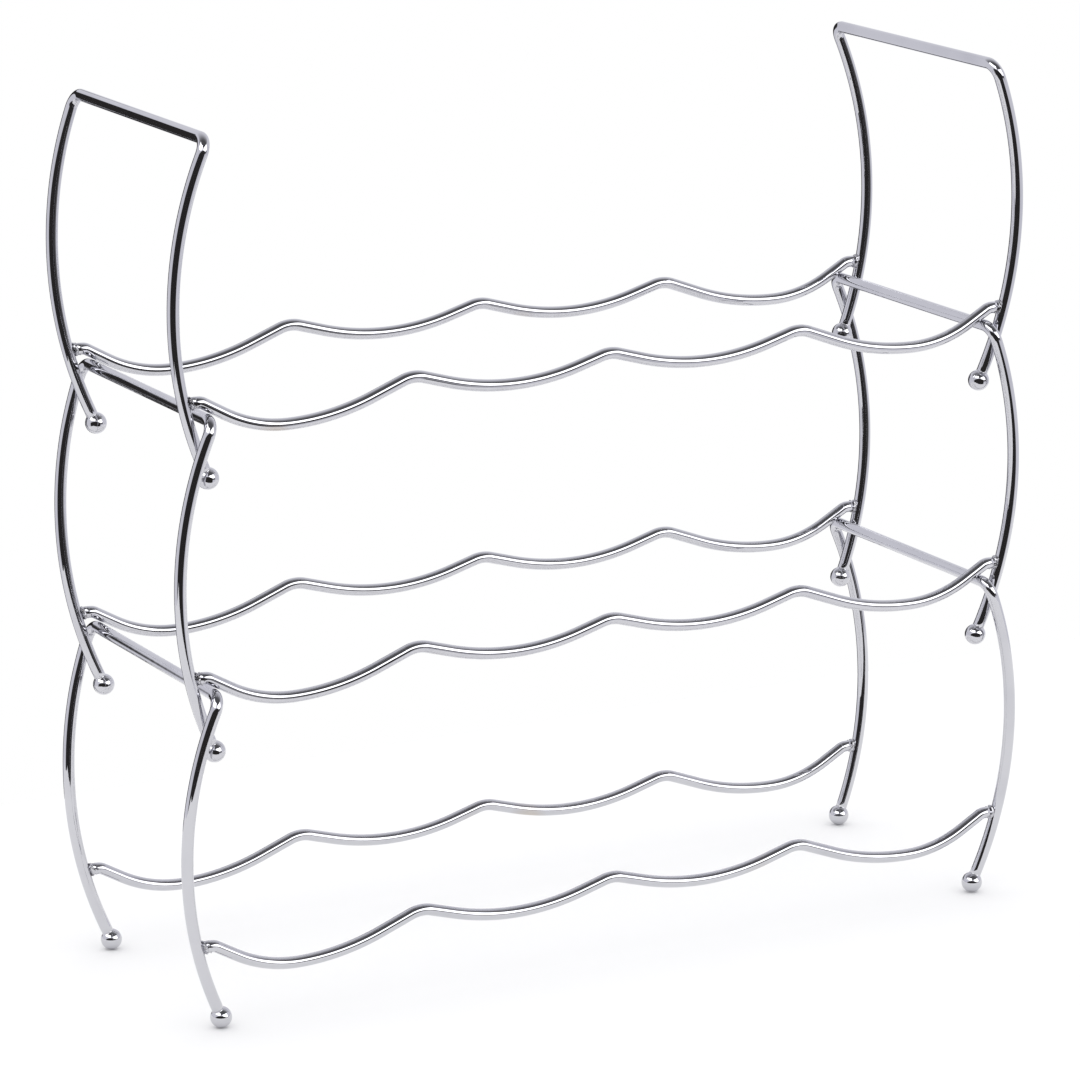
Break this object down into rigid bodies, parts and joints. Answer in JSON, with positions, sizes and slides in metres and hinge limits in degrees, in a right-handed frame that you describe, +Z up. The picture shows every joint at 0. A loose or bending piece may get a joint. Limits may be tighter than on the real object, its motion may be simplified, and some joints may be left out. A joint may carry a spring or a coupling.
{
  "type": "wine rack",
  "caption": "Stackable bright wire wine rack: bowed end frames on ball feet, joined by wave-shaped rails that cradle bottles lying down.",
  "frame": {"origin": "on the floor, at the middle of the footprint of the lowest tier", "axes": "+X along the rails, towards the right end; +Y towards the back; +Z up"},
  "size_m": [0.439, 0.1496, 0.4092],
  "materials": {
    "wire_chrome": "bright polished plate",
    "ball_chrome": "bright polished plate",
    "weld_chrome": "plated over a slightly rough weld"
  },
  "bodies": {
    "lower_tier": {"lower_left_end_frame": "wire_chrome", "lower_right_end_frame": "wire_chrome", "lower_front_rail": "wire_chrome", "lower_back_rail": "wire_chrome", "lower_front_left_foot": "ball_chrome", "lower_front_right_foot": "ball_chrome", "lower_back_left_foot": "ball_chrome", "lower_back_right_foot": "ball_chrome", "lower_rail_welds": "weld_chrome"},
    "middle_tier": {"middle_left_end_frame": "wire_chrome", "middle_right_end_frame": "wire_chrome", "middle_front_rail": "wire_chrome", "middle_back_rail": "wire_chrome", "middle_front_left_foot": "ball_chrome", "middle_front_right_foot": "ball_chrome", "middle_back_left_foot": "ball_chrome", "middle_back_right_foot": "ball_chrome", "middle_rail_welds": "weld_chrome"},
    "upper_tier": {"upper_left_end_frame": "wire_chrome", "upper_right_end_frame": "wire_chrome", "upper_front_rail": "wire_chrome", "upper_back_rail": "wire_chrome", "upper_front_left_foot": "ball_chrome", "upper_front_right_foot": "ball_chrome", "upper_back_left_foot": "ball_chrome", "upper_back_right_foot": "ball_chrome", "upper_rail_welds": "weld_chrome"}
  },
  "joints": [
    {"name": "middle_lift", "type": "slide", "parent": "lower_tier", "child": "middle_tier", "axis": [0, 0, 1], "range_m": [0, 0.24]},
    {"name": "upper_lift", "type": "slide", "parent": "middle_tier", "child": "upper_tier", "axis": [0, 0, 1], "range_m": [0, 0.24]}
  ]
}
